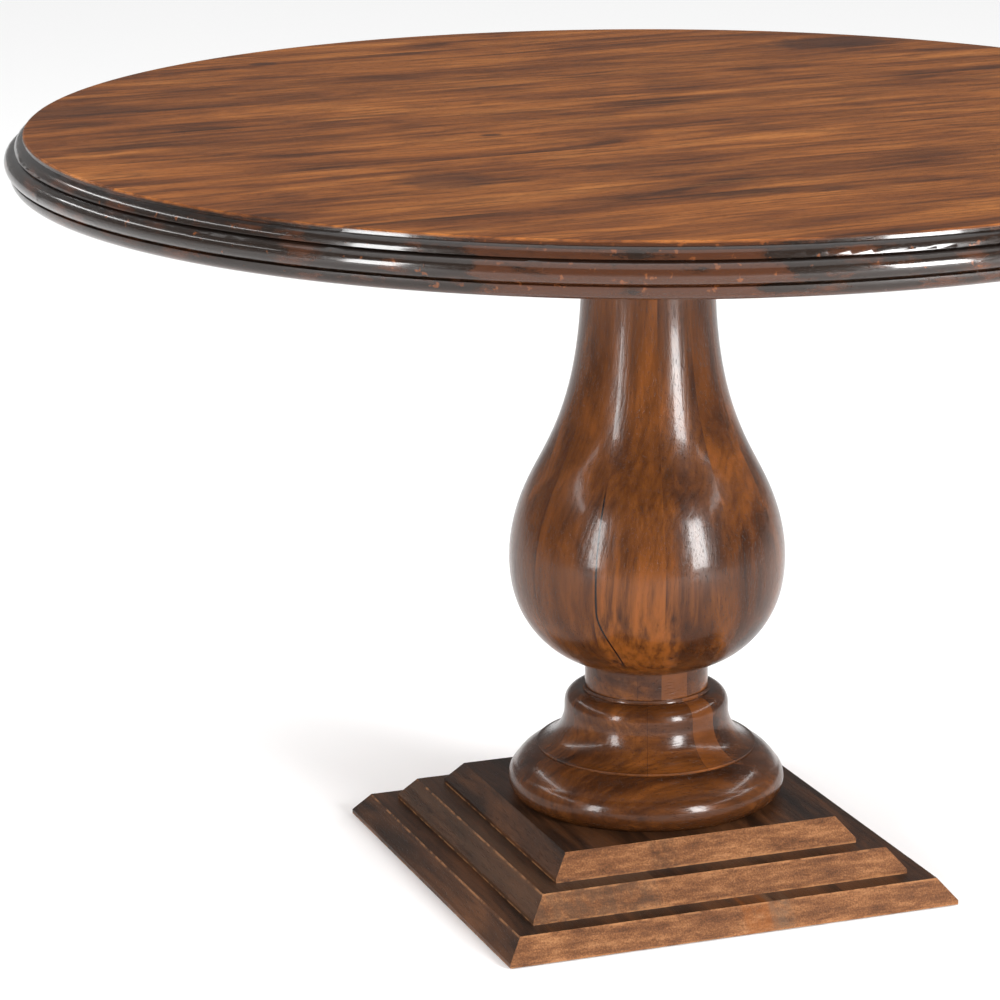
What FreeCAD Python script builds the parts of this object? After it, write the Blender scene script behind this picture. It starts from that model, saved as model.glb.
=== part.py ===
import FreeCAD, Part
import os
from math import cos, radians, sin, sqrt

from FreeCAD import Vector

# Round pedestal dining table. Millimetres, +Z up. The origin is on the floor under the
# middle of the plinth, and the plinth's sides lie along X and Y.

# ---- driving dimensions -------------------------------------------------------------
TABLE_HEIGHT = 762.0        # floor to the flat of the top
TOP_DIAMETER = 1246.0       # over the widest roll of the edge moulding
TOP_TURN = 4.0              # the top's boards run this many degrees off X
BOARD_COUNT = 10            # edge-glued boards in the top
BOARD_THICKNESS = 36.0
RIM_THICKNESS = 13.0        # build-up ring under the edge of the boards
RIM_WIDTH = 70.0            # radial width of that ring
RIM_SEGMENTS = 6

BATTEN_LAP = 0.419          # how far a batten reaches onto the last board but one, in board widths
BATTEN_WIDTH = 70.0
BATTEN_THICKNESS = 20.0
BATTEN_END_GAP = 14.0       # from the batten's end to the build-up ring
BATTEN_BEVEL = 12.0

PLATE_WIDTH = 360.0         # square plate that joins the top to the column
PLATE_THICKNESS = 24.0
PLATE_BEVEL = 10.0

CAP_HEIGHT = 30.0
CAP_RADIUS = 112.0
CAP_FOOT_RADIUS = 96.0
CAP_SQUARE = 4.0            # straight edge under and over the cap's round

VASE_TOP_RADIUS = 90.0      # flare of the staves under the cap
NECK_RADIUS = 66.0
BELLY_RADIUS = 138.0
COLLAR_RADIUS = 62.0
STAVE_COUNT = 12
CORE_RADIUS = 36.0          # bore through the glued-up staves
PLUG_LENGTH = 30.0

COLLAR_HEIGHT = 26.8
BELL_HEIGHT = 62.8
BELL_WAIST_RADIUS = 82.5
BELL_FLARE_RADIUS = 108.0
TORUS_HEIGHT = 51.0
TORUS_RADIUS = 139.0
TORUS_SEAT_RADIUS = 110.0   # where the bell stands on the torus

PLINTH_WIDTH = 472.0
TIER_THICKNESS = 24.5
TIER_STEP = 38.0            # each tier is this much narrower on every side
TIER_EDGE = 4.5             # upright edge under each bevel
TIER_BEVEL_RUN = 16.0
TIERS = (("plinth_bottom", 4), ("plinth_middle", 3), ("plinth_top", 3))

ROD_RADIUS = 6.0            # M12 tie rod from the plinth to the plate
NUT_WIDTH = 19.0            # across the flats
NUT_HEIGHT = 10.0
WASHER_RADIUS = 15.0
WASHER_THICKNESS = 2.5
ROD_STAND_OUT = 2.0         # rod past the nut at each end

SCREW_HEAD_RADIUS = 4.6
SCREW_HEAD_HEIGHT = 3.2
SCREW_SHANK_RADIUS = 2.3
SCREW_TIP = 5.0
SCREW_BITE = 22.0           # length held in the second piece
SCREW_EDGE = 20.0           # least distance from a screw to the edge of a board
PLATE_SCREW_OFFSET = 150.0
CAP_SCREW_RADIUS = 75.0
CAP_SCREWS = 4
PLINTH_SCREW_RECESS = 6.0
PLINTH_SCREW_COVER = 8.0    # wood left over the tip of a plinth screw
PLINTH_SCREW_EDGE = 40.0
PLINTH_SCREW_INNER = 30.0   # inner pair, which holds the middle boards

FLOOR_GAP = 1.5             # the screwed-in levellers hold the plinth this far up
LEVELLER_INSET = 61.0       # from the side of the plinth to the leveller's axis
PAD_RADIUS = 20.0
PAD_THICKNESS = 6.0
STUD_RADIUS = 4.85
STUD_LENGTH = 32.0
INSERT_LENGTH = 16.0
INSERT_RADIUS = 8.0
INSERT_FLANGE_RADIUS = 11.0
INSERT_FLANGE = 1.5

# ---- clearances ---------------------------------------------------------------------
SCREW_CLEARANCE = 0.1       # round a screw, a nut or an insert
STUD_CLEARANCE = 0.3        # stud to the bore of its insert
STOP_GAP = 0.5              # pad to the insert when screwed right in
ROD_CLEARANCE = 1.0         # rod to the wood round it
RECESS_CLEARANCE = 3.0      # round a washer in its recess
PAD_CLEARANCE = 2.0         # round a pad in its counterbore
PLUG_CLEARANCE = 0.1        # plug to the bore of the staves

# Outline of the vase from its foot to the neck: share of the height, and share of the
# swelling from the neck's radius to the belly's.
VASE_CURVE = (
    (0.025, 0.306), (0.079, 0.667), (0.160, 0.921), (0.246, 1.0), (0.352, 0.931),
    (0.441, 0.746), (0.530, 0.483), (0.640, 0.231), (0.751, 0.086), (0.859, 0.018),
)
NECK_BEAD = 14.0            # height of the bead at the top of the neck
NECK_BEAD_SWELL = 7.0
NECK_COVE = 26.0            # height of the cove that flares out to the cap

# ---- levels and radii that follow ---------------------------------------------------
ORIGIN = Vector(0, 0, 0)
UP = Vector(0, 0, 1)
TOP_RADIUS = TOP_DIAMETER / 2
BOARD_WIDTH = TOP_DIAMETER / BOARD_COUNT
BOARD_Z = TABLE_HEIGHT - BOARD_THICKNESS
RIM_Z = BOARD_Z - RIM_THICKNESS
RIM_INNER_RADIUS = TOP_RADIUS - RIM_WIDTH
BATTEN_HALF_LENGTH = (BOARD_COUNT / 2 - 2 + BATTEN_LAP) * BOARD_WIDTH
BATTEN_CORNER = sqrt(RIM_INNER_RADIUS ** 2 - (BATTEN_HALF_LENGTH + BATTEN_END_GAP) ** 2)
BATTEN_OFFSET = BATTEN_CORNER - BATTEN_WIDTH / 2
BATTEN_Z = BOARD_Z - BATTEN_THICKNESS
PLATE_Z = BOARD_Z - PLATE_THICKNESS
CAP_Z = PLATE_Z - CAP_HEIGHT
TORUS_Z = FLOOR_GAP + len(TIERS) * TIER_THICKNESS
BELL_Z = TORUS_Z + TORUS_HEIGHT
COLLAR_Z = BELL_Z + BELL_HEIGHT
VASE_Z = COLLAR_Z + COLLAR_HEIGHT
NECK_Z = CAP_Z - NECK_COVE - NECK_BEAD
ROD_HOLE_RADIUS = ROD_RADIUS + ROD_CLEARANCE
ROD_RECESS_RADIUS = WASHER_RADIUS + RECESS_CLEARANCE
ROD_RECESS = NUT_HEIGHT + WASHER_THICKNESS + ROD_STAND_OUT + 1.0
ROD_SEATS = (FLOOR_GAP + ROD_RECESS, BOARD_Z - ROD_RECESS)
LEVELLER_OFFSET = PLINTH_WIDTH / 2 - LEVELLER_INSET
INSERT_Z = PAD_THICKNESS + STOP_GAP + INSERT_FLANGE
STUD_TOP = PAD_THICKNESS + STUD_LENGTH
STUD_BORE_RADIUS = STUD_RADIUS + STUD_CLEARANCE


# ---- building blocks ----------------------------------------------------------------
def rz(point):
    """A point of a turned outline, given as (radius, height)."""
    return Vector(point[0], 0, point[1])


def straight(*points):
    """Straight edges through the points of a turned outline."""
    return [Part.makeLine(rz(a), rz(b)) for a, b in zip(points, points[1:])]


def arc(start, middle, end):
    """One arc of a turned outline."""
    return [Part.Arc(rz(start), rz(middle), rz(end)).toShape()]


def smooth(points):
    """One smooth curve through points of a turned outline."""
    curve = Part.BSplineCurve()
    curve.interpolate([rz(p) for p in points])
    return [curve.toShape()]


def turned(edges, sweep=360.0):
    """The solid that a closed outline sweeps about the Z axis."""
    return Part.Face(Part.Wire(edges)).revolve(ORIGIN, UP, sweep)


def cylinder(radius, z_low, z_high, x=0.0, y=0.0):
    return Part.makeCylinder(radius, z_high - z_low, Vector(x, y, z_low))


def block(x_low, x_high, y_low, y_high, z_low, z_high):
    size = (x_high - x_low, y_high - y_low, z_high - z_low)
    return Part.makeBox(*size, Vector(x_low, y_low, z_low))


def moved(shape, x=0.0, y=0.0, z=0.0, turn=0.0):
    """A copy, turned about Z and then moved."""
    copy = shape.copy()
    copy.rotate(ORIGIN, UP, turn)
    copy.translate(Vector(x, y, z))
    return copy


def four_corners(x, y):
    return [(sx * x, sy * y) for sx in (-1, 1) for sy in (-1, 1)]


def moulded_square(outline):
    """A square solid with mitred corners, from (half width, height) points, low to high."""
    right = [Vector(half, 0, z) for half, z in outline]
    left = [Vector(-half, 0, z) for half, z in reversed(outline)]
    face = Part.Face(Part.makePolygon(right + left + right[:1]))
    reach = max(half for half, z in outline)
    bar = face.extrude(Vector(0, 2 * reach, 0))
    bar.translate(Vector(0, -reach, 0))
    return bar.common(moved(bar, turn=90.0))


# ---- fasteners ----------------------------------------------------------------------
def screw(length, grow=0.0):
    """A countersunk wood screw that points up from z 0, or its hole when grown."""
    head = SCREW_HEAD_RADIUS + grow
    shank = SCREW_SHANK_RADIUS + grow
    tip = length + grow
    shape = turned(straight((0, 0), (head, 0), (shank, SCREW_HEAD_HEIGHT), (shank, tip - SCREW_TIP),
                            (0, tip), (0, 0)))
    if grow:
        return shape
    slot, depth = 0.6, 1.8
    arm = SCREW_HEAD_RADIUS * 0.6
    cross = block(-arm, arm, -slot, slot, 0, depth).fuse(block(-slot, slot, -arm, arm, 0, depth))
    return shape.cut(cross)


def screw_set(spots, length, head_z):
    """Screws that point up with their heads at head_z, and the holes they sit in."""
    screws = [moved(screw(length), x, y, head_z) for x, y in spots]
    holes = [moved(screw(length, SCREW_CLEARANCE), x, y, head_z) for x, y in spots]
    return screws, holes


def board_rows(reach):
    """Screw lines across the top: the middle of each board that a piece reaches."""
    rows = []
    for board in range(BOARD_COUNT // 2):
        middle = (board + 0.5) * BOARD_WIDTH
        if middle - BOARD_WIDTH / 2 + SCREW_EDGE < reach:
            rows += [-min(middle, reach), min(middle, reach)]
    return rows


def hex_nut(z):
    corner = NUT_WIDTH / 2 / cos(radians(30))
    points = [Vector(corner * cos(radians(60 * k)), corner * sin(radians(60 * k)), z) for k in range(7)]
    nut = Part.Face(Part.makePolygon(points)).extrude(UP * NUT_HEIGHT)
    return nut.cut(cylinder(ROD_RADIUS + SCREW_CLEARANCE, z, z + NUT_HEIGHT))


def washer(z):
    ring = cylinder(WASHER_RADIUS, z, z + WASHER_THICKNESS)
    return ring.cut(cylinder(ROD_RADIUS + SCREW_CLEARANCE, z, z + WASHER_THICKNESS))


def tie_rod_parts():
    """The rod, with a washer and a nut against the seat at each end."""
    low, high = ROD_SEATS
    washers = [washer(low - WASHER_THICKNESS), washer(high)]
    nuts = [hex_nut(low - WASHER_THICKNESS - NUT_HEIGHT), hex_nut(high + WASHER_THICKNESS)]
    past = WASHER_THICKNESS + NUT_HEIGHT + ROD_STAND_OUT
    rod = cylinder(ROD_RADIUS, low - past, high + past)
    rod = rod.makeChamfer(1.0, [e for e in rod.Edges if abs(e.Length - 2 * radians(180) * ROD_RADIUS) < 0.01])
    return {"tie_rod": rod, "tie_rod_washers": Part.makeCompound(washers),
            "tie_rod_nuts": Part.makeCompound(nuts)}


# ---- the round top ------------------------------------------------------------------
def edge_point(inset, drop):
    """A point of the edge moulding: in from the widest radius, down from the flat."""
    return (TOP_RADIUS - inset, TABLE_HEIGHT - drop)


def top_blank():
    """The moulded disc before it is divided into boards."""
    axis_low, axis_high = (0, BOARD_Z), (0, TABLE_HEIGHT)
    flat_edge, quirk = edge_point(20.0, 0.0), edge_point(18.0, 4.5)
    bead_end, groove = edge_point(10.0, 14.5), edge_point(11.5, 15.7)
    roll_start, roll_end = edge_point(8.0, 16.5), edge_point(5.5, BOARD_THICKNESS - 1.0)
    seat = (TOP_RADIUS - 7.5, BOARD_Z)
    outline = straight(axis_low, seat, roll_end)
    outline += arc(roll_end, edge_point(0.0, 26.5), roll_start)
    outline += straight(roll_start, groove, bead_end)
    outline += arc(bead_end, edge_point(12.8, 7.6), quirk)
    outline += straight(quirk, edge_point(18.4, 1.4), flat_edge, axis_high, axis_low)
    return turned(outline)


def top_boards(holes):
    blank = top_blank()
    boards = {}
    for k in range(BOARD_COUNT):
        low = -TOP_RADIUS + k * BOARD_WIDTH
        strip = block(-TOP_RADIUS, TOP_RADIUS, low, low + BOARD_WIDTH, BOARD_Z, TABLE_HEIGHT)
        boards[f"top_board_{k + 1}"] = blank.common(strip).cut(holes)
    return boards


def rim_segments():
    """The moulded build-up ring under the boards, in butt-jointed arcs."""
    inner, bevel = RIM_INNER_RADIUS, 3.0
    seat = (TOP_RADIUS - 7.5, BOARD_Z)
    shoulder, bulge = (TOP_RADIUS - 5.0, BOARD_Z - 0.8), (TOP_RADIUS - 6.5, BOARD_Z - 0.55 * RIM_THICKNESS)
    foot = (TOP_RADIUS - 16.0, RIM_Z)
    outline = straight((inner, BOARD_Z), (inner, RIM_Z + bevel), (inner + bevel, RIM_Z), foot)
    outline += arc(foot, bulge, shoulder)
    outline += straight(shoulder, seat, (inner, BOARD_Z))
    sweep = 360.0 / RIM_SEGMENTS
    segment = turned(outline, sweep)
    return {f"rim_segment_{k + 1}": moved(segment, turn=(k + 0.25) * sweep) for k in range(RIM_SEGMENTS)}


def batten(x_middle, holes):
    """A bar across the boards with bevelled ends."""
    end = BATTEN_HALF_LENGTH
    profile = [(end - BATTEN_BEVEL, BATTEN_Z), (end, BATTEN_Z + BATTEN_BEVEL), (end, BOARD_Z)]
    right = [Vector(0, y, z) for y, z in profile]
    left = [Vector(0, -y, z) for y, z in reversed(profile)]
    bar = Part.Face(Part.makePolygon(right + left + right[:1])).extrude(Vector(BATTEN_WIDTH, 0, 0))
    return moved(bar, x_middle - BATTEN_WIDTH / 2).cut(holes)


def mounting_plate(holes):
    half = PLATE_WIDTH / 2
    plate = moulded_square([(half - PLATE_BEVEL, PLATE_Z), (half, PLATE_Z + PLATE_BEVEL), (half, BOARD_Z)])
    plate = plate.cut(cylinder(ROD_HOLE_RADIUS, PLATE_Z, BOARD_Z))
    plate = plate.cut(cylinder(ROD_RECESS_RADIUS, ROD_SEATS[1], BOARD_Z))
    return plate.cut(holes)


def column_cap(holes):
    """The turned block that the plate is screwed to."""
    low, high = CAP_Z + CAP_SQUARE, PLATE_Z - CAP_SQUARE
    swell = CAP_RADIUS - CAP_FOOT_RADIUS
    outline = straight((ROD_HOLE_RADIUS, CAP_Z), (CAP_FOOT_RADIUS, CAP_Z), (CAP_FOOT_RADIUS, low))
    outline += arc((CAP_FOOT_RADIUS, low), (CAP_FOOT_RADIUS + 0.72 * swell, low + 0.36 * (high - low)),
                   (CAP_RADIUS, high))
    outline += straight((CAP_RADIUS, high), (CAP_RADIUS, PLATE_Z), (ROD_HOLE_RADIUS, PLATE_Z),
                        (ROD_HOLE_RADIUS, CAP_Z))
    return turned(outline).cut(holes)


def top_group():
    """Everything that is turned with the top: boards, rim, battens, plate, cap, screws."""
    batten_spots = [(x, y) for x in (-BATTEN_OFFSET, BATTEN_OFFSET)
                    for y in board_rows(BATTEN_HALF_LENGTH - SCREW_EDGE)]
    plate_spots = [(x, y) for x in (-PLATE_SCREW_OFFSET, PLATE_SCREW_OFFSET)
                   for y in board_rows(PLATE_WIDTH / 2 - SCREW_EDGE)]
    batten_screws, batten_holes = screw_set(batten_spots, BATTEN_THICKNESS + SCREW_BITE, BATTEN_Z)
    plate_screws, plate_holes = screw_set(plate_spots, PLATE_THICKNESS + SCREW_BITE, PLATE_Z)

    turns = [(k + 0.5) * 360.0 / CAP_SCREWS for k in range(CAP_SCREWS)]
    cap_spots = [(CAP_SCREW_RADIUS * cos(radians(a)), CAP_SCREW_RADIUS * sin(radians(a))) for a in turns]
    cap_screws, cap_holes = screw_set(cap_spots, PLATE_THICKNESS + SCREW_BITE, -BOARD_Z)
    for shape in cap_screws + cap_holes:
        shape.rotate(ORIGIN, Vector(1, 0, 0), 180)

    group = top_boards(batten_holes + plate_holes)
    group.update(rim_segments())
    for k, x in enumerate((-BATTEN_OFFSET, BATTEN_OFFSET)):
        group[f"batten_{k + 1}"] = batten(x, batten_holes)
    group["mounting_plate"] = mounting_plate(plate_holes + cap_holes)
    group["column_cap"] = column_cap(cap_holes)
    group["batten_screws"] = Part.makeCompound(batten_screws)
    group["plate_screws"] = Part.makeCompound(plate_screws)
    group["cap_screws"] = Part.makeCompound(cap_screws)
    return {name: moved(shape, turn=TOP_TURN) for name, shape in group.items()}


# ---- the column ---------------------------------------------------------------------
def vase_staves():
    """Coopered staves, glued into a ring and turned to the vase outline."""
    height = NECK_Z - VASE_Z
    swell = BELLY_RADIUS - NECK_RADIUS
    foot, neck = (COLLAR_RADIUS, VASE_Z), (NECK_RADIUS, NECK_Z)
    points = [(NECK_RADIUS + s * swell, VASE_Z + h * height) for h, s in VASE_CURVE]
    bead_top = (NECK_RADIUS, NECK_Z + NECK_BEAD)
    lip = (VASE_TOP_RADIUS, CAP_Z)
    flare = VASE_TOP_RADIUS - NECK_RADIUS
    outline = straight((CORE_RADIUS, CAP_Z), (CORE_RADIUS, VASE_Z), foot)
    outline += smooth([foot] + points + [neck])
    outline += arc(neck, (NECK_RADIUS + NECK_BEAD_SWELL, NECK_Z + NECK_BEAD / 2), bead_top)
    outline += arc(bead_top, (NECK_RADIUS + 0.28 * flare, bead_top[1] + 0.7 * NECK_COVE), lip)
    outline += straight(lip, (CORE_RADIUS, CAP_Z))
    sweep = 360.0 / STAVE_COUNT
    stave = turned(outline, sweep)
    return {f"vase_stave_{k + 1}": moved(stave, turn=(k - 0.5) * sweep) for k in range(STAVE_COUNT)}


def core_plug(z_low):
    """A turned plug that centres the tie rod in the bore of the staves."""
    plug = cylinder(CORE_RADIUS - PLUG_CLEARANCE, z_low, z_low + PLUG_LENGTH)
    return plug.cut(cylinder(ROD_HOLE_RADIUS, z_low, z_low + PLUG_LENGTH))


def neck_collar():
    hole, z_high = ROD_HOLE_RADIUS, COLLAR_Z + COLLAR_HEIGHT
    return turned(straight((hole, COLLAR_Z), (COLLAR_RADIUS, COLLAR_Z), (COLLAR_RADIUS, z_high),
                           (hole, z_high), (hole, COLLAR_Z)))


def bell_moulding():
    """Ogee between the torus and the collar, with a small fillet under and over it."""
    hole, lip = ROD_HOLE_RADIUS, 2.5
    shoulder_radius = 15.5
    flare = (BELL_FLARE_RADIUS, BELL_Z + lip)
    top_fillet = COLLAR_Z - 3.3
    shoulder_top = (BELL_WAIST_RADIUS - shoulder_radius, top_fillet)
    shoulder = (BELL_WAIST_RADIUS, top_fillet - shoulder_radius)
    waist = (BELL_WAIST_RADIUS, shoulder[1] - 5.0)
    drop, run = waist[1] - flare[1], BELL_FLARE_RADIUS - BELL_WAIST_RADIUS
    outline = straight((hole, BELL_Z), (TORUS_SEAT_RADIUS, BELL_Z), (TORUS_SEAT_RADIUS, BELL_Z + lip), flare)
    outline += arc(flare, (BELL_WAIST_RADIUS + 0.27 * run, flare[1] + 0.39 * drop), waist)
    outline += straight(waist, shoulder)
    outline += arc(shoulder, (shoulder[0] - 0.293 * shoulder_radius, shoulder[1] + 0.707 * shoulder_radius),
                   shoulder_top)
    outline += straight(shoulder_top, (COLLAR_RADIUS + 2.0, top_fillet), (COLLAR_RADIUS + 2.0, COLLAR_Z),
                        (hole, COLLAR_Z), (hole, BELL_Z))
    return turned(outline)


def torus_ring():
    """The heavy round moulding on top of the plinth."""
    hole = ROD_HOLE_RADIUS
    foot, crest = (TORUS_RADIUS - 10.0, TORUS_Z), (TORUS_RADIUS, TORUS_Z + 0.29 * TORUS_HEIGHT)
    brow, seat = (TORUS_RADIUS - 6.0, TORUS_Z + 0.62 * TORUS_HEIGHT), (TORUS_SEAT_RADIUS, BELL_Z)
    over = ((brow[0] + seat[0]) / 2 + 2.0, (brow[1] + seat[1]) / 2 + 1.5)
    outline = straight((hole, BELL_Z), (hole, TORUS_Z), foot)
    outline += arc(foot, crest, brow)
    outline += arc(brow, over, seat)
    outline += straight(seat, (hole, BELL_Z))
    return turned(outline)


# ---- the stepped plinth and its levellers -------------------------------------------
def tier_half(tier):
    """Half width of a tier at its upright edge."""
    return PLINTH_WIDTH / 2 - tier * TIER_STEP


def plinth_screws():
    """Screws up from the underside, into the middle tier and into the top tier."""
    to_top = tier_half(2) - TIER_BEVEL_RUN - PLINTH_SCREW_EDGE
    to_middle = tier_half(1) - TIER_BEVEL_RUN - PLINTH_SCREW_EDGE
    lost = PLINTH_SCREW_RECESS + PLINTH_SCREW_COVER
    head_z = FLOOR_GAP + PLINTH_SCREW_RECESS
    long_spots = four_corners(PLINTH_SCREW_INNER, to_top) + four_corners(to_top, to_top)
    short_spots = four_corners(to_middle, to_top)
    long_screws, long_holes = screw_set(long_spots, 3 * TIER_THICKNESS - lost, head_z)
    short_screws, short_holes = screw_set(short_spots, 2 * TIER_THICKNESS - lost, head_z)
    recess = SCREW_HEAD_RADIUS + SCREW_CLEARANCE
    recesses = [cylinder(recess, FLOOR_GAP, head_z, x, y) for x, y in long_spots + short_spots]
    return long_screws + short_screws, long_holes + short_holes + recesses


def leveller_holes(x, y):
    """Counterbore for the pad, seat for the insert and bore for the end of the stud."""
    fit = SCREW_CLEARANCE
    return [cylinder(PAD_RADIUS + PAD_CLEARANCE, FLOOR_GAP, INSERT_Z, x, y),
            cylinder(INSERT_RADIUS + fit, INSERT_Z, INSERT_Z + INSERT_LENGTH, x, y),
            cylinder(STUD_BORE_RADIUS + fit, INSERT_Z, STUD_TOP + 1.0, x, y)]


def threaded_insert(x, y):
    """A flanged metal insert for a leveller's stud."""
    low, seat, high = INSERT_Z - INSERT_FLANGE, INSERT_Z, INSERT_Z + INSERT_LENGTH
    bore = STUD_BORE_RADIUS
    body = turned(straight((bore, low), (INSERT_FLANGE_RADIUS, low), (INSERT_FLANGE_RADIUS, seat),
                           (INSERT_RADIUS, seat), (INSERT_RADIUS, high), (bore, high), (bore, low)))
    return moved(body, x, y)


def leveller(x, y):
    """A round pad on a stud."""
    ease = 1.5
    outline = straight((0, STUD_TOP), (0, 0), (PAD_RADIUS - ease, 0))
    outline += arc((PAD_RADIUS - ease, 0), (PAD_RADIUS - 0.293 * ease, 0.293 * ease), (PAD_RADIUS, ease))
    outline += straight((PAD_RADIUS, ease), (PAD_RADIUS, PAD_THICKNESS), (STUD_RADIUS, PAD_THICKNESS),
                        (STUD_RADIUS, STUD_TOP - 1.0), (STUD_RADIUS - 1.0, STUD_TOP), (0, STUD_TOP))
    return moved(turned(outline), x, y)


def plinth_boards(holes):
    """Three square tiers with bevelled edges, each of boards glued side by side."""
    boards = {}
    for tier, (name, count) in enumerate(TIERS):
        half = tier_half(tier)
        low = FLOOR_GAP + tier * TIER_THICKNESS
        high = low + TIER_THICKNESS
        square = moulded_square([(half, low), (half, low + TIER_EDGE), (half - TIER_BEVEL_RUN, high)])
        square = square.cut(holes)
        width = 2 * half / count
        for k in range(count):
            left = -half + k * width
            strip = block(left, left + width, -half, half, low, high)
            boards[f"{name}_board_{k + 1}"] = square.common(strip)
    return boards


def plinth_group():
    corners = four_corners(LEVELLER_OFFSET, LEVELLER_OFFSET)
    screws, holes = plinth_screws()
    for x, y in corners:
        holes += leveller_holes(x, y)
    holes.append(cylinder(ROD_HOLE_RADIUS, FLOOR_GAP, TORUS_Z))
    holes.append(cylinder(ROD_RECESS_RADIUS, FLOOR_GAP, ROD_SEATS[0]))
    group = plinth_boards(holes)
    group["plinth_screws"] = Part.makeCompound(screws)
    group["leveller_inserts"] = Part.makeCompound([threaded_insert(x, y) for x, y in corners])
    for k, (x, y) in enumerate(corners):
        group[f"leveller_{k + 1}"] = leveller(x, y)
    return group


# ---- the whole table ----------------------------------------------------------------
def table():
    nodes = top_group()
    nodes.update(vase_staves())
    nodes["core_plug_upper"] = core_plug(CAP_Z - PLUG_LENGTH)
    nodes["core_plug_lower"] = core_plug(VASE_Z)
    nodes["neck_collar"] = neck_collar()
    nodes["bell_moulding"] = bell_moulding()
    nodes["torus_ring"] = torus_ring()
    nodes.update(plinth_group())
    nodes.update(tie_rod_parts())
    return nodes


os.makedirs("parts", exist_ok=True)
for name, shape in table().items():
    shape.exportStep(f"parts/{name}.step")
    print(f"{name:26s} {len(shape.Solids):3d} solids {shape.Volume / 1000.0:10.1f} cm3  {shape.isValid()}")
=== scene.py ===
from math import cos, pi, radians, sin

import bmesh
import bpy
from mathutils import Matrix, Vector


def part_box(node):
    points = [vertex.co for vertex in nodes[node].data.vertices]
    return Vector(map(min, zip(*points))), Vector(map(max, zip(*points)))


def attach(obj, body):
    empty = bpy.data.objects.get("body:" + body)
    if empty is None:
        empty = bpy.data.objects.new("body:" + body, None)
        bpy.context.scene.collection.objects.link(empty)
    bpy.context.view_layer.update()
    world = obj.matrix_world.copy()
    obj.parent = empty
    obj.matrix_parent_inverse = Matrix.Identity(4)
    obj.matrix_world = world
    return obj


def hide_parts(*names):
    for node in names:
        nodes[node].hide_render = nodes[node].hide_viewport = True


# Round pedestal table of stained and lacquered wood: finishes, lights and camera round the
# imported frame. Metres, +Z up, the floor at z 0.

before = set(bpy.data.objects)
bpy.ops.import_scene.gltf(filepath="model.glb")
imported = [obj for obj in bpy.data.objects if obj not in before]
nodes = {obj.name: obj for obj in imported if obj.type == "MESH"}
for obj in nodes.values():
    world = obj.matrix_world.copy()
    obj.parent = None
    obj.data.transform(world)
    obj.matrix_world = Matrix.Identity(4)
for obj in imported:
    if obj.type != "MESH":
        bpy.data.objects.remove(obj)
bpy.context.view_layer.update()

TOP_TURN = radians(4.0)             # the boards of the top lie this far off X
FRONT_TURN = radians(22.64)         # from -Y to the front of the table that faces the camera, towards -X
BOARDS, STAVES, RIM_SEGMENTS = 10, 12, 6
TIERS = {"plinth_bottom": 4, "plinth_middle": 3, "plinth_top": 3}
TIER_RISE, ROD_BORE = 0.0245, 0.007
EDGE_HOLLOWS = (0.0058, 0.0160)     # drops from the flat to the grooves of the moulded edge
EDGE_REACH = 0.026                  # how far in from the rim the moulded edge comes
SCREW_REACH = 0.012                 # corners this near each other belong to one screw
FLAT_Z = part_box("top_board_5")[1].z
BOARD_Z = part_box("top_board_5")[0].z
TOP_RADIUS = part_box("top_board_5")[1].x


def linear(red, green, blue):
    """A display colour, 0 to 255, as the linear colour that a shader takes."""
    parts = [c / 255.0 for c in (red, green, blue)]
    return tuple(c / 12.92 if c <= 0.04045 else ((c + 0.055) / 1.055) ** 2.4 for c in parts)


# ---- shader arithmetic --------------------------------------------------------------
class Field:
    """A socket whose value varies over a surface; arithmetic on it adds Math nodes."""

    def __init__(self, tree, socket):
        self.tree, self.socket = tree, socket

    def math(self, operation, *values):
        node = self.tree.nodes.new("ShaderNodeMath")
        node.operation = operation
        for socket, value in zip(node.inputs, values):
            connect(self.tree, value, socket)
        return Field(self.tree, node.outputs[0])

    def __add__(self, other):
        return self.math("ADD", self, other)

    def __radd__(self, other):
        return self.math("ADD", other, self)

    def __sub__(self, other):
        return self.math("SUBTRACT", self, other)

    def __rsub__(self, other):
        return self.math("SUBTRACT", other, self)

    def __mul__(self, other):
        return self.math("MULTIPLY", self, other)

    def __rmul__(self, other):
        return self.math("MULTIPLY", other, self)

    def __truediv__(self, other):
        return self.math("DIVIDE", self, other)

    def __rtruediv__(self, other):
        return self.math("DIVIDE", other, self)

    def __pow__(self, other):
        return self.math("POWER", self, other)

    def __gt__(self, other):
        return self.math("GREATER_THAN", self, other)

    def sine(self):
        return self.math("SINE", self)

    def size(self):
        return self.math("ABSOLUTE", self)

    def at_least(self, other):
        return self.math("MAXIMUM", self, other)


def connect(tree, value, socket):
    """Links a field to a socket, or sets the socket to a plain number or colour."""
    if isinstance(value, Field):
        tree.links.new(value.socket, socket)
    elif isinstance(value, tuple) and len(value) == 3 and socket.type == "RGBA":
        socket.default_value = (*value, 1.0)
    else:
        socket.default_value = value


class Graph:
    """A node tree that is filled one node at a time."""

    def add(self, kind, settings=None, inputs=None, output=0):
        """Any node: its type, its settings, which are set first, and its inputs."""
        node = self.tree.nodes.new(kind)
        for key, value in (settings or {}).items():
            if key == "stops":
                self.set_stops(node.color_ramp, value)
            else:
                setattr(node, key, value)
        for key, value in (inputs or {}).items():
            connect(self.tree, value, node.inputs[key])
        return Field(self.tree, node.outputs[output])

    def set_stops(self, ramp, stops):
        while len(ramp.elements) < len(stops):
            ramp.elements.new(0.5)
        for element, (place, colour) in zip(ramp.elements, stops):
            element.position, element.color = place, (*colour, 1.0)


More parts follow.
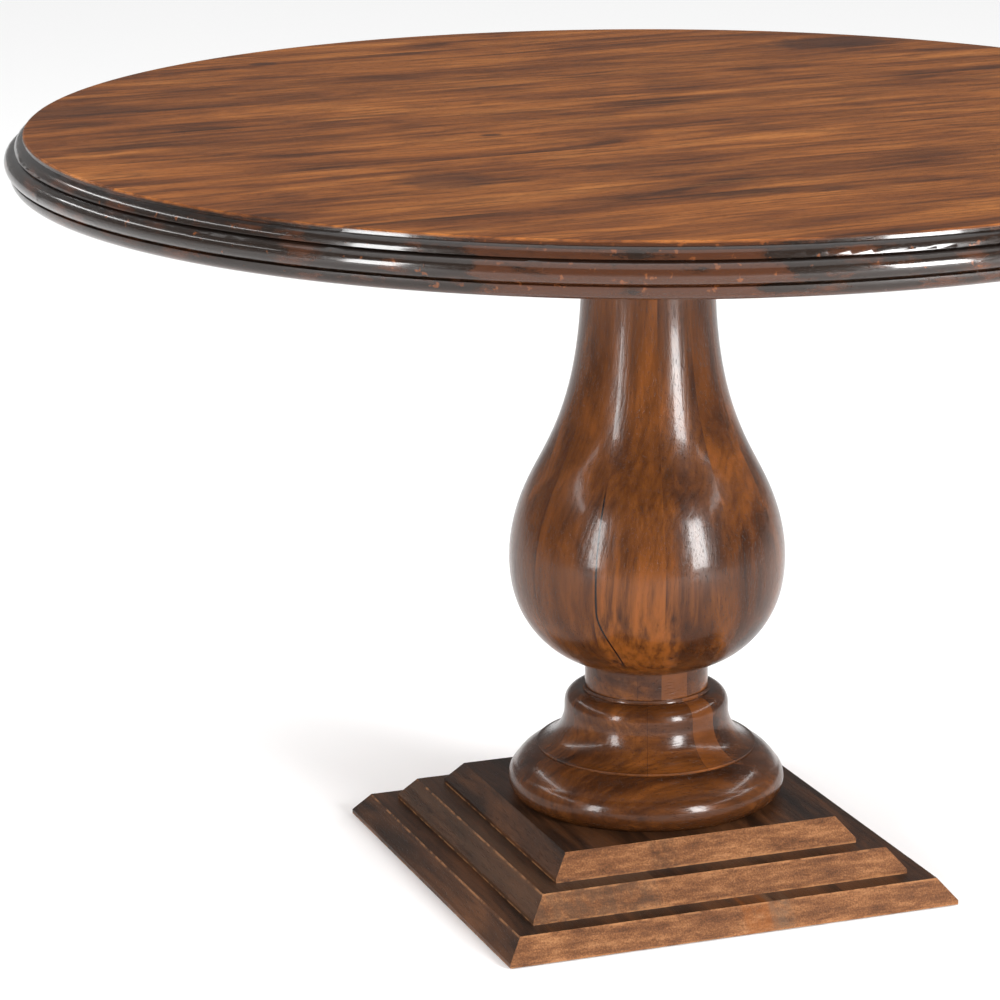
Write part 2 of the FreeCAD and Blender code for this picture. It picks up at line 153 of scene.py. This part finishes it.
class Finish(Graph):
    """One material, built round a Principled shader."""

    def __init__(self, name):
        self.material = bpy.data.materials.new(name)
        self.material.use_nodes = True
        self.tree = self.material.node_tree
        self.shader = self.tree.nodes["Principled BSDF"]

    def set(self, **values):
        """Sets the shader's own sockets, with spaces written as underscores."""
        for key, value in values.items():
            connect(self.tree, value, self.shader.inputs[key.replace("_", " ")])
        return self.material

    # vectors
    def object_point(self):
        return self.add("ShaderNodeTexCoord", output="Object")

    def turned(self, point, location=(0, 0, 0), rotation=(0, 0, 0)):
        """The point measured from a place, along turned axes."""
        settings = {"vector_type": "TEXTURE"}
        return self.add("ShaderNodeMapping", settings,
                        {"Vector": point, "Location": location, "Rotation": rotation})

    def stretched(self, point, sizes):
        """The point in units of a feature's own length along each axis."""
        scale = tuple(1.0 / s for s in sizes)
        return self.add("ShaderNodeVectorMath", {"operation": "MULTIPLY"}, {0: point, 1: scale})

    def shifted(self, point, field, reach):
        """The point pushed about by a colour field, by up to about reach."""
        centred = self.add("ShaderNodeVectorMath", {"operation": "SUBTRACT"},
                           {0: field, 1: (0.5, 0.5, 0.5)})
        push = self.add("ShaderNodeVectorMath", {"operation": "MULTIPLY"}, {0: centred, 1: reach})
        return self.add("ShaderNodeVectorMath", {"operation": "ADD"}, {0: point, 1: push})

    def axes(self, point):
        return [self.add("ShaderNodeSeparateXYZ", None, {0: point}, output=k) for k in range(3)]

    def front(self, point):
        """Distance to the right across the table's front that faces the camera, and distance out
        towards it.
        """
        x, y, _ = self.axes(point)
        across = x * cos(FRONT_TURN) - y * sin(FRONT_TURN)
        return across, x * -sin(FRONT_TURN) - y * cos(FRONT_TURN)

    def front_angle(self, point):
        """Degrees round the table's axis from its worn front, positive to the right."""
        across, out = self.front(point)
        return across.math("ARCTAN2", across, out) * (180.0 / pi)

    def spot(self, point, x, y, half_x, half_y):
        """1 inside a ragged oval seen from above, falling to 0 round it."""
        centred = self.turned(point, location=(x, y, 0.0))
        flat = self.stretched(centred, (half_x, half_y, 1e6))
        ragged = self.shifted(flat, self.noise(point, scale=45.0, detail=4.0, output=1),
                              (0.9, 0.9, 0.0))
        reach = self.add("ShaderNodeVectorMath", {"operation": "LENGTH"}, {0: ragged},
                         output="Value")
        return 1.0 - self.rise(reach, 0.55, 1.15)

    # textures
    def noise(self, point, scale=1.0, detail=4.0, roughness=0.55, distortion=0.0, output=0):
        return self.add("ShaderNodeTexNoise", None,
                        {"Vector": point, "Scale": scale, "Detail": detail,
                         "Roughness": roughness, "Distortion": distortion}, output)

    # shaping
    def rise(self, field, low, high):
        """0 below low, 1 above high, with a smooth slope between."""
        return self.add("ShaderNodeMapRange", {"interpolation_type": "SMOOTHSTEP"},
                        {"Value": field, "From Min": low, "From Max": high})

    def band(self, field, middle, half, soft):
        """1 within half of a value, falling to 0 over a soft edge."""
        return 1.0 - self.rise((field - middle).size(), half, half + soft)

    def ramp(self, field, *stops):
        return self.add("ShaderNodeValToRGB", {"stops": stops}, {"Fac": field})

    def mix(self, factor, low, high, how="MIX"):
        """Colours: low where the factor is 0, high where it is 1."""
        node = self.tree.nodes.new("ShaderNodeMix")
        node.data_type, node.blend_type = "RGBA", how
        for key, value in ((0, factor), (6, low), (7, high)):
            connect(self.tree, value, node.inputs[key])
        return Field(self.tree, node.outputs[2])

    def bump(self, height, distance):
        return self.add("ShaderNodeBump", None,
                        {"Height": height, "Distance": distance, "Strength": 1.0})


# ---- wood ---------------------------------------------------------------------------
ALONG_X = (0.0, 0.0, 0.0)
ALONG_Y = (0.0, 0.0, pi / 2)
ALONG_Z = (0.0, -pi / 2, 0.0)
RING_SPACING = 0.0075               # between the dark lines of late wood


class Wood(Finish):
    """Sawn wood as a solid: the grain runs along the turned X axis of each piece."""

    def __init__(self, name, seed, grain, pith=(0.06, 0.11)):
        super().__init__(name)
        self.here = self.object_point()
        offset = (0.37 * seed, 1.91 * seed, -0.83 * seed)
        aligned = self.turned(self.here, rotation=grain)
        self.local = self.turned(aligned, location=offset)
        sway = self.noise(self.stretched(self.local, (0.35, 0.12, 0.12)), detail=2.0, output=1)
        self.grained = self.shifted(self.local, sway, (0.0, 0.03, 0.03))
        self.patches = self.noise(self.stretched(self.grained, (0.26, 0.055, 0.055)), detail=5.0,
                                  roughness=0.6, distortion=0.5)
        self.streaks = self.noise(self.stretched(self.grained, (0.22, 0.009, 0.009)), detail=5.0,
                                  roughness=0.6)
        self.fibres = self.noise(self.stretched(self.grained, (0.03, 0.0011, 0.0011)), detail=3.0)
        pores = self.noise(self.stretched(self.grained, (0.009, 0.0009, 0.0009)), detail=1.0)
        self.pores = self.rise(pores, 0.60, 0.72)
        self.rings = self.growth_rings(aligned, pith)

    def growth_rings(self, aligned, pith):
        """Late wood lines round a pith that lies beside the piece."""
        sway = self.noise(self.stretched(self.local, (0.30, 0.05, 0.05)), detail=3.0, output=1)
        centred = self.shifted(self.turned(aligned, location=(0.0, *pith)), sway,
                               (0.0, 0.05, 0.05))
        across = self.add("ShaderNodeVectorMath", {"operation": "MULTIPLY"},
                          {0: centred, 1: (0.0, 1.0, 1.0)})
        radius = self.add("ShaderNodeVectorMath", {"operation": "LENGTH"}, {0: across},
                          output="Value")
        wave = (radius * (2 * pi / RING_SPACING)).sine() * 0.5 + 0.5
        return wave ** 3.0

    def grain_bump(self, depth):
        height = self.fibres * 0.35 - self.pores + self.streaks * 0.4 - self.rings * 0.15
        return self.bump(height, depth)


def apply(material, *names):
    for name in names:
        mesh = nodes[name].data
        mesh.materials.clear()
        mesh.materials.append(material)


TOP_BROWN = (linear(50, 25, 11), linear(106, 58, 24), linear(140, 82, 35), linear(168, 105, 50))
COLUMN_BROWN = (linear(25, 12, 6), linear(51, 26, 10), linear(72, 39, 14), linear(100, 56, 22))
PLINTH_BROWN = (linear(36, 22, 13), linear(70, 43, 25), linear(92, 58, 34), linear(116, 77, 46))
# end grain, painted lighter than the long grain, partly as the sheen of a key light; its palest
# colour also paints a highlight line at the foot of each tier
END_GRAIN_AND_SHEEN = (linear(62, 37, 22), linear(92, 58, 34), linear(112, 73, 44), linear(140, 98, 64))
# The rubbed brown is real wear and also painted light across the camera-facing front of the edge;
# the amber is the wood's own and also the painted light on the vase belly; the near-black is real
# glue lines and also painted shade in the grooves of the moulded edge.
ESPRESSO, RUBBED_AND_LIT, TAN = linear(24, 16, 11), linear(54, 29, 15), linear(104, 58, 28)
AMBER_AND_LIGHT, GLUE_AND_SHADE = linear(112, 62, 23), linear(14, 9, 7)
KNOT_BROWN = linear(50, 28, 19)

BOARD_SHADES = (0.0, 0.10, 0.04, 0.14, 0.02)    # how much darker each board is, in turn
STAVE_WARMTH = (0.0, 0.35, 0.1, 0.5, 0.2)       # how much amber shows in each stave, in turn
TOP_MARKS = (                       # knots and dark flames: place, half sizes, strength
    (-0.175, -0.030, 0.012, 0.008, 0.80), (-0.245, 0.475, 0.016, 0.010, 0.80),
    (0.375, 0.390, 0.085, 0.045, 0.75), (-0.295, -0.240, 0.050, 0.050, 0.50),
    (-0.505, 0.250, 0.070, 0.040, 0.50),
)
PLINTH_MARKS = {                    # streaks along the boards: place, half width, colour
    "plinth_bottom": ((0.026, 0.014, AMBER_AND_LIGHT), (0.0485, 0.0085, linear(84, 68, 54))),
    "plinth_middle": ((-0.133, 0.065, linear(62, 46, 34)),),
    "plinth_top": ((-0.0445, 0.0105, linear(44, 26, 16)),),
}
TONE_BLOCKS = {                     # glued blocks: the tone at the left, then (degrees, tone)
    "neck_collar": (0.35, (-47, 0.5), (-8, 0.3), (14, 0.75), (41, 0.4)),
    "bell": (0.35, (1, 0.5), (34, 0.75), (54, 0.35)),
    "torus": (0.4,),
    "column_cap": (0.2,),
}


def stained(wood, palette, contrast=1.0):
    """The stain: dark patches, mid brown and lighter streaks, with darker late wood."""
    dark, mid, light, pale = palette
    base = wood.ramp(wood.patches, (0.33, dark), (0.43, mid), (0.56, light), (0.68, pale))
    base = wood.mix(wood.rings * (0.28 * contrast), base, dark)
    base = wood.mix(wood.rise(wood.streaks, 0.5, 0.75) * 0.4, base, pale)
    base = wood.mix(wood.rise(wood.streaks, 0.5, 0.28) * (0.5 * contrast), base, dark)
    return wood.mix(wood.pores * 0.5, wood.mix(wood.fibres * 0.25, base, mid), dark)


def edge_colour(wood):
    """The moulded edge: a dark stain rubbed through on the rolls, lighter and more chipped across
    the front that faces the camera as painted light, with painted shade as dark lines in the
    hollows.
    """
    _, _, z = wood.axes(wood.here)
    across, out = wood.front(wood.here)
    worn = wood.noise(wood.stretched(wood.here, (0.06, 0.06, 0.02)), detail=5.0, roughness=0.65)
    # painted light: the front that faces the camera is made lighter and more chipped, on top of
    # the real rubbing
    middle = wood.band(across + 0.02, 0.0, 0.09, 0.06) * wood.rise(out, 0.0, 0.1)
    rubbed_and_lit = wood.rise(worn + middle * 0.22, 0.50, 0.64)
    chips = wood.noise(wood.here, scale=110.0, detail=3.0)
    colour = wood.mix(rubbed_and_lit, ESPRESSO, RUBBED_AND_LIT)
    colour = wood.mix(wood.rise(chips + middle * 0.04, 0.66, 0.74) * 0.6, colour, TAN)
    # painted shade: near-black lines along the two grooves of the moulded edge
    upper, lower = (wood.band(z, FLAT_Z - drop, 0.0006, 0.0010) for drop in EDGE_HOLLOWS)
    return wood.mix(upper.at_least(lower) * 0.8, colour, GLUE_AND_SHADE)


def board_finish(index):
    wood = Wood(f"top_board_{index}_wood", index, (0.0, 0.0, TOP_TURN),
                pith=(0.05, 0.02 * index))
    colour = stained(wood, TOP_BROWN, 1.5)
    colour = wood.mix(BOARD_SHADES[index % 5], colour, TOP_BROWN[0])
    for x, y, half_x, half_y, depth in TOP_MARKS:
        colour = wood.mix(wood.spot(wood.here, x, y, half_x, half_y) * depth, colour, KNOT_BROWN)
    x, y, z = wood.axes(wood.here)
    out = (x * x + y * y) ** 0.5
    edge = wood.rise(z, FLAT_Z - 0.0002, FLAT_Z - 0.0030)
    edge = edge * wood.rise(out, TOP_RADIUS - EDGE_REACH, TOP_RADIUS - EDGE_REACH + 0.004)
    rough = wood.noise(wood.here, scale=30.0, detail=3.0) * 0.1
    return wood.set(Base_Color=wood.mix(edge, colour, edge_colour(wood)), Specular_IOR_Level=0.12,
                    Roughness=0.42 - edge * 0.24 + rough, Coat_Weight=edge * 0.5,
                    Coat_Roughness=0.09, Normal=wood.grain_bump(0.0003))


def rim_finish(index):
    """The ring under the boards, coloured like the moulded edge with its painted light across the
    front, and browner at its foot.
    """
    wood = Wood(f"rim_segment_{index}_wood", index + 30, ALONG_X)
    _, _, z = wood.axes(wood.here)
    foot = wood.rise(z, BOARD_Z - 0.006, BOARD_Z - 0.012)
    return wood.set(Base_Color=wood.mix(foot * 0.6, edge_colour(wood), RUBBED_AND_LIT), Roughness=0.24,
                    Specular_IOR_Level=0.12, Coat_Weight=0.4, Coat_Roughness=0.08,
                    Normal=wood.grain_bump(0.0003))


def blocks(wood, colour, first, *steps):
    """Glued blocks of a turned piece: each has the angle where it starts, and a tone."""
    angle = wood.front_angle(wood.here)
    tone, before = wood.noise(wood.here, scale=18.0, detail=4.0) * 0.5 + (first - 0.25), first
    for start, value in steps:
        tone, before = tone + (angle > start) * (value - before), value
    colour = wood.mix(wood.rise(tone, 0.35, 1.15) * 0.6, colour, AMBER_AND_LIGHT)
    for start, _ in steps:
        colour = wood.mix(wood.band(angle, start, 0.1, 0.2) * 0.5, colour, GLUE_AND_SHADE)
    return colour


def lacquered(wood, colour):
    rough = wood.noise(wood.here, scale=26.0, detail=3.0) * 0.10 + 0.17
    return wood.set(Base_Color=colour, Roughness=rough, Specular_IOR_Level=0.14,
                    Coat_Weight=0.14, Coat_Roughness=0.09, Normal=wood.grain_bump(0.00025))


def stave_finish(index):
    """A stave of the vase, with the opened glue line, and the belly painted paler through its
    streaks where it faces the camera, as painted light.
    """
    wood = Wood(f"vase_stave_{index}_wood", index, ALONG_Z)
    warmth = wood.rise(wood.patches, 0.3, 0.75) * (STAVE_WARMTH[index % 5] * 0.7)
    colour = wood.mix(warmth, stained(wood, COLUMN_BROWN), AMBER_AND_LIGHT)
    _, _, z = wood.axes(wood.here)
    angle = wood.front_angle(wood.here)
    # painted light: the lower belly is made paler on the side that faces the camera
    pale = wood.band(angle, -3.0, 15.0, 5.0) * wood.rise(z, 0.40, 0.30)
    colour = wood.mix(pale * wood.rise(wood.streaks, 0.30, 0.65) * 0.6, colour, AMBER_AND_LIGHT)
    drift = wood.rise(z, 0.300, 0.232) * 9.0 - 21.0
    split = (wood.band(angle - drift, 0.0, 0.25, 0.35) * wood.rise(z, 0.225, 0.240)
             * wood.rise(z, 0.425, 0.405))
    return lacquered(wood, wood.mix(split, colour, GLUE_AND_SHADE))


def turned_finish(name, seed):
    wood = Wood(f"{name}_wood", seed, ALONG_X)
    return lacquered(wood, blocks(wood, stained(wood, COLUMN_BROWN), *TONE_BLOCKS[name]))


def plinth_finish(name, seed, marks=()):
    """Boards of the plinth: speckled end grain on two sides, painted lighter partly as the sheen
    of a key light, dark long grain and ledges.
    """
    wood = Wood(f"{name}_wood", seed, ALONG_Y)
    long_grain = stained(wood, (COLUMN_BROWN[0], *PLINTH_BROWN[:3]))
    speckle = wood.noise(wood.here, scale=620.0, detail=3.0)
    year = wood.noise(wood.stretched(wood.here, (0.045, 0.1, 0.008)), detail=6.0, roughness=0.65)
    end = wood.ramp(speckle * 0.35 + year * 0.65, *zip((0.36, 0.47, 0.54, 0.64), END_GRAIN_AND_SHEEN))
    normal = wood.add("ShaderNodeTexCoord", output="Normal")
    _, facing, upward = wood.axes(normal)
    # painted sheen, in part: the faces across the boards' ends take the lighter end-grain colours
    colour = wood.mix(wood.rise(facing.size(), 0.55, 0.85), long_grain, end)
    x, _, z = wood.axes(wood.here)
    upright = wood.rise(upward.size(), 0.9, 0.7)
    for middle, half, tint in marks:
        colour = wood.mix(wood.band(x, middle, half, 0.006) * wood.rise(wood.streaks, 0.30, 0.6)
                          * 0.55, colour, tint)
    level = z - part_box("plinth_bottom_board_1")[0].z
    rub_and_glint = wood.noise(wood.here, scale=70.0, detail=4.0)
    # painted highlight, in part: a pale line along the bottom arris of each tier's upright faces,
    # broken up like wear, where an eased edge would catch the light
    for tier in range(len(TIERS)):
        foot = wood.band(level, TIER_RISE * tier, 0.0009, 0.0012)
        colour = wood.mix(foot * wood.rise(rub_and_glint, 0.40, 0.58) * upright * 0.6, colour, END_GRAIN_AND_SHEEN[3])
    return wood.set(Base_Color=colour, Roughness=0.34 + speckle * 0.12, Specular_IOR_Level=0.14,
                    Coat_Weight=0.04, Coat_Roughness=0.14, Normal=wood.grain_bump(0.0003))


def metal_finish(name, colour, roughness):
    metal = Finish(name)
    scuff = metal.noise(metal.object_point(), scale=900.0, detail=3.0)
    dull = tuple(c * 0.75 for c in colour)
    return metal.set(Base_Color=metal.ramp(scuff, (0.3, dull), (0.7, colour)),
                     Metallic=1.0, Roughness=scuff * 0.2 + roughness)


ZINC = metal_finish("zinc", linear(190, 190, 186), 0.3)


def finish_nodes():
    for k in range(BOARDS):
        apply(board_finish(k + 1), f"top_board_{k + 1}")
    for k in range(STAVES):
        apply(stave_finish(k + 1), f"vase_stave_{k + 1}")
    for k in range(RIM_SEGMENTS):
        apply(rim_finish(k + 1), f"rim_segment_{k + 1}")
    apply(turned_finish("neck_collar", 40), "neck_collar")
    for tier, (name, count) in enumerate(TIERS.items()):
        for k in range(count):
            apply(plinth_finish(f"{name}_board_{k + 1}", 10 * tier + k + 50, PLINTH_MARKS[name]),
                  f"{name}_board_{k + 1}")
    apply(plinth_finish("frame", 90), "batten_1", "batten_2", "mounting_plate",
          "core_plug_upper", "core_plug_lower")
    apply(turned_finish("column_cap", 43), "column_cap")
    apply(ZINC, "tie_rod", "tie_rod_nuts", "tie_rod_washers", "leveller_inserts")
    apply(metal_finish("black_oxide", linear(70, 70, 72), 0.4),
          *[f"leveller_{k + 1}" for k in range(4)])


# ---- pieces made by rule ------------------------------------------------------------
TURNS, STEPS = 193, 241             # points round the axis, and along the outline
SHARP_ANGLE = radians(35.0)         # edges bent more than this stay crisp
SCREW_NODES = ("batten_screws", "plate_screws", "cap_screws", "plinth_screws")
BELL_FOOT, BELL_SEAT = 0.110, 0.064         # radii of the bell's fillet and of its upper step
WAIST_RADIUS, WAIST_TURN = 0.0825, 0.0155   # the bell's waist, and the roll above it


class Rule(Graph):
    """A Geometry Nodes tree with named inputs."""

    def __init__(self, name, **inputs):
        self.tree = bpy.data.node_groups.new(name, "GeometryNodeTree")
        face = self.tree.interface
        face.new_socket("Geometry", in_out="INPUT", socket_type="NodeSocketGeometry")
        for key, kind in inputs.items():
            face.new_socket(key.replace("_", " "), in_out="INPUT",
                            socket_type=f"NodeSocket{kind}")
        face.new_socket("Geometry", in_out="OUTPUT", socket_type="NodeSocketGeometry")
        self.given = self.tree.nodes.new("NodeGroupInput")

    def input(self, name):
        return Field(self.tree, self.given.outputs[name])

    def end(self, geometry, material):
        """Realizes the result, gives it its material and closes the tree."""
        real = self.add("GeometryNodeRealizeInstances", None, {0: geometry})
        done = self.add("GeometryNodeSetMaterial", None, {0: real})
        done.socket.node.inputs["Material"].default_value = material
        self.tree.links.new(done.socket, self.tree.nodes.new("NodeGroupOutput").inputs[0])
        return self.tree

    def made(self, vertices, edges, **values):
        """The mesh that the tree makes from these points, with these values in its inputs."""
        mesh = bpy.data.meshes.new("seed_points")
        mesh.from_pydata(vertices, edges, [])
        holder = bpy.data.objects.new("seed_points", mesh)
        bpy.context.scene.collection.objects.link(holder)
        modifier = holder.modifiers.new("rule", "NODES")
        modifier.node_group = self.tree
        for item in self.tree.interface.items_tree:
            key = item.name.replace(" ", "_")
            if item.in_out == "INPUT" and key in values:
                modifier[item.identifier] = values[key]
        graph = bpy.context.evaluated_depsgraph_get()
        graph.update()
        made = bpy.data.meshes.new_from_object(holder.evaluated_get(graph))
        bpy.data.objects.remove(holder)
        return made


def place_piece(name, mesh, *replaced):
    """A finished mesh as a piece of the table, standing for the nodes it replaces."""
    shape = bmesh.new()
    shape.from_mesh(mesh)
    bmesh.ops.recalc_face_normals(shape, faces=shape.faces)
    shape.to_mesh(mesh)
    shape.free()
    mesh.polygons.foreach_set("use_smooth", [True] * len(mesh.polygons))
    mesh.set_sharp_from_angle(angle=SHARP_ANGLE)
    piece = bpy.data.objects.new(name, mesh)
    bpy.context.scene.collection.objects.link(piece)
    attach(piece, "table")
    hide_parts(*replaced)


def lathe_rule(material):
    """Sweeps a closed outline, drawn in X and Z, about the Z axis."""
    rule = Rule("lathe", Turns="Int", Steps="Int")
    outline = rule.add("GeometryNodeMeshToCurve", None, {0: rule.input("Geometry")})
    grid = rule.add("GeometryNodeMeshGrid", None,
                    {"Size X": 1.0, "Size Y": 1.0,
                     "Vertices X": rule.input("Turns"), "Vertices Y": rule.input("Steps")})
    here = rule.add("GeometryNodeInputPosition")
    part = [rule.add("ShaderNodeSeparateXYZ", None, {0: here}, output=k) for k in (0, 1)]
    turn = (part[0] + 0.5) * (2 * pi)
    sampled = rule.tree.nodes.new("GeometryNodeSampleCurve")
    rule.tree.links.new(outline.socket, sampled.inputs[0])
    connect(rule.tree, part[1] + 0.5, sampled.inputs["Factor"])
    found = Field(rule.tree, sampled.outputs["Position"])
    radius = rule.add("ShaderNodeSeparateXYZ", None, {0: found})
    height = rule.add("ShaderNodeSeparateXYZ", None, {0: found}, 2)
    swept = rule.add("ShaderNodeCombineXYZ", None,
                     {0: radius * turn.math("COSINE", turn), 1: radius * turn.sine(), 2: height})
    shaped = rule.add("GeometryNodeSetPosition", None, {"Geometry": grid, "Position": swept})
    rule.end(rule.add("GeometryNodeMergeByDistance", None,
                      {"Geometry": shaped, "Distance": 1e-5}), material)
    return rule


def screw_rule(material):
    """Stands a copy of one screw on each point."""
    rule = Rule("screws", Screw="Object")
    pattern = rule.add("GeometryNodeObjectInfo", None, {"Object": rule.input("Screw")},
                       "Geometry")
    rule.end(rule.add("GeometryNodeInstanceOnPoints", None,
                      {"Points": rule.input("Geometry"), "Instance": pattern}), material)
    return rule


SCREWS = screw_rule(ZINC)


def one_screw(node, x, y, foot):
    """The node's screw at x, y as an object of its own, with its corners joined."""
    shape = bmesh.new()
    shape.from_mesh(nodes[node].data)
    others = [v for v in shape.verts if (v.co.xy - Vector((x, y))).length > SCREW_REACH]
    bmesh.ops.delete(shape, geom=others, context="VERTS")
    bmesh.ops.remove_doubles(shape, verts=shape.verts, dist=1e-6)
    bmesh.ops.translate(shape, verts=shape.verts, vec=(-x, -y, -foot))
    mesh = bpy.data.meshes.new("one_screw")
    shape.to_mesh(mesh)
    shape.free()
    screw = bpy.data.objects.new("one_screw", mesh)
    bpy.context.scene.collection.objects.link(screw)
    return screw


def screw_places(node):
    """(x, y, low, high) for each screw of a node, read from its corners."""
    groups = []
    for corner in (v.co for v in nodes[node].data.vertices):
        for group in groups:
            if (group[0].xy - corner.xy).length < SCREW_REACH:
                group.append(corner)
                break
        else:
            groups.append([corner])
    places = []
    for group in groups:
        xs, ys, zs = zip(*group)
        places.append(((min(xs) + max(xs)) / 2, (min(ys) + max(ys)) / 2, min(zs), max(zs)))
    return places


def add_screws(node):
    """The node's screws, one run of the rule for each length, joined as one piece."""
    runs = {}
    for x, y, low, high in screw_places(node):
        runs.setdefault(round(high - low, 4), []).append((x, y, low))
    whole = bmesh.new()
    for points in runs.values():
        screw = one_screw(node, *points[0])
        whole.from_mesh(SCREWS.made(points, [], Screw=screw))
        bpy.data.objects.remove(screw)
    mesh = bpy.data.meshes.new(node)
    whole.to_mesh(mesh)
    whole.free()
    mesh.materials.append(ZINC)
    place_piece(f"{node}_set", mesh, node)


def arc(start, through, end, steps=14):
    """Points on the circle through three points, the first left out."""
    a, b, c = Vector(start), Vector(through), Vector(end)
    twice = 2 * (a.x * (b.y - c.y) + b.x * (c.y - a.y) + c.x * (a.y - b.y))
    aa, bb, cc = a.length_squared, b.length_squared, c.length_squared
    centre = Vector(((aa * (b.y - c.y) + bb * (c.y - a.y) + cc * (a.y - b.y)) / twice,
                     (aa * (c.x - b.x) + bb * (a.x - c.x) + cc * (b.x - a.x)) / twice))
    sweep = -(a - centre).angle_signed(c - centre)
    return [tuple(centre + Matrix.Rotation(sweep * k / steps, 2) @ (a - centre))
            for k in range(1, steps + 1)]


def torus_outline(low, high):
    rise, crest = high - low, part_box("torus_ring")[1].x
    foot, brow, seat = (crest - 0.010, low), (crest - 0.006, low + 0.62 * rise), (BELL_FOOT, high)
    over = ((brow[0] + seat[0]) / 2 + 0.002, (brow[1] + seat[1]) / 2 + 0.0015)
    return [(ROD_BORE, high), (ROD_BORE, low), foot,
            *arc(foot, (crest, low + 0.29 * rise), brow), *arc(brow, over, seat)]


def bell_outline(low, high):
    flare, ledge = (0.108, low + 0.0025), high - 0.0033
    shoulder, top = (WAIST_RADIUS, ledge - WAIST_TURN), (WAIST_RADIUS - WAIST_TURN, ledge)
    waist = (WAIST_RADIUS, shoulder[1] - 0.005)
    run, drop = flare[0] - WAIST_RADIUS, waist[1] - flare[1]
    hollow = (WAIST_RADIUS + 0.27 * run, flare[1] + 0.39 * drop)
    roll = (WAIST_RADIUS - 0.293 * WAIST_TURN, shoulder[1] + 0.707 * WAIST_TURN)
    return [(ROD_BORE, high), (ROD_BORE, low), (BELL_FOOT, low), (BELL_FOOT, flare[1]), flare,
            *arc(flare, hollow, waist), shoulder, *arc(shoulder, roll, top),
            (BELL_SEAT, ledge), (BELL_SEAT, high)]


def add_turned(node, outline, material):
    """A moulding turned from its outline, standing for the plain node."""
    low, high = (corner.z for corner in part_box(node))
    points = [(radius, 0.0, z) for radius, z in outline(low, high)]
    edges = [(k, (k + 1) % len(points)) for k in range(len(points))]
    place_piece(f"{node}_turned",
                lathe_rule(material).made(points, edges, Turns=TURNS, Steps=STEPS), node)


def add_pieces():
    add_turned("torus_ring", torus_outline, turned_finish("torus", 42))
    add_turned("bell_moulding", bell_outline, turned_finish("bell", 41))
    for node in SCREW_NODES:
        add_screws(node)


# ---- studio -------------------------------------------------------------------------
CAMERA_TURN = FRONT_TURN            # bearing of the camera from the table's -Y side
CAMERA_REACH = 3.8128               # from the table's axis, along the floor
CAMERA_HEIGHT = 1.4007
CAMERA_AIM = radians(20.437)        # bearing of the view, clockwise from +Y
CAMERA_PITCH = radians(15.004)
CAMERA_ROLL = radians(-0.268)
CAMERA_LENS, SENSOR_WIDTH = 142.62, 36.0    # millimetres
SOFTBOXES = (                       # name, bearing, distance, height, size, power, height of aim
    ("key_right", 44.0, 3.6, 1.15, (0.8, 1.8), 265.0, 0.4),
    ("key_left", -43.0, 3.6, 1.15, (0.6, 1.8), 125.0, 0.4),
    ("side_right", 95.0, 3.2, 2.2, (4.0, 0.2), 40.0, 0.75),
    ("side_left", -95.0, 3.2, 2.2, (4.0, 0.2), 40.0, 0.75),
)
CEILING_POWER, CEILING_SPREAD = 2.0, radians(70.0)
SURROUND = 0.3                      # brightness of the white surroundings


def add_camera():
    data = bpy.data.cameras.new("camera")
    data.lens, data.sensor_width = CAMERA_LENS, SENSOR_WIDTH
    camera = bpy.data.objects.new("camera", data)
    bpy.context.scene.collection.objects.link(camera)
    place = Matrix.Translation((-CAMERA_REACH * sin(CAMERA_TURN),
                                -CAMERA_REACH * cos(CAMERA_TURN), CAMERA_HEIGHT))
    aim = Matrix.Rotation(-CAMERA_AIM, 4, "Z") @ Matrix.Rotation(pi / 2 - CAMERA_PITCH, 4, "X")
    camera.matrix_world = place @ aim @ Matrix.Rotation(CAMERA_ROLL, 4, "Z")
    bpy.context.scene.camera = camera


def softbox(name, bearing, distance, height, size, power, aim_height):
    """A rectangular light; bearing is measured from the camera's side, to its right."""
    data = bpy.data.lights.new(name, "AREA")
    data.shape, data.size, data.size_y = "RECTANGLE", *size
    data.energy = power
    light = bpy.data.objects.new(name, data)
    bpy.context.scene.collection.objects.link(light)
    turn = radians(bearing) - CAMERA_TURN - pi / 2
    place = Vector((distance * cos(turn), distance * sin(turn), height))
    aim = (Vector((0, 0, aim_height)) - place).to_track_quat("-Z", "Y")
    light.matrix_world = Matrix.Translation(place) @ aim.to_matrix().to_4x4()


def add_floor():
    bpy.ops.mesh.primitive_plane_add(size=60.0)
    floor = bpy.context.object
    floor.name = "floor"
    paper = Finish("floor_paper")
    floor.data.materials.append(paper.set(Base_Color=(0.93, 0.93, 0.93), Roughness=0.9))


def add_studio():
    world = bpy.data.worlds.new("studio")
    bpy.context.scene.world = world
    world.use_nodes = True
    background = world.node_tree.nodes["Background"]
    background.inputs["Color"].default_value = (1.0, 1.0, 1.0, 1.0)
    background.inputs["Strength"].default_value = SURROUND
    for settings in SOFTBOXES:
        softbox(*settings)
    data = bpy.data.lights.new("ceiling", "SUN")
    data.energy, data.angle = CEILING_POWER, CEILING_SPREAD
    bpy.context.scene.collection.objects.link(bpy.data.objects.new("ceiling", data))
    bpy.context.scene.view_settings.view_transform = "Standard"


finish_nodes()
add_pieces()
add_floor()
add_studio()
add_camera()
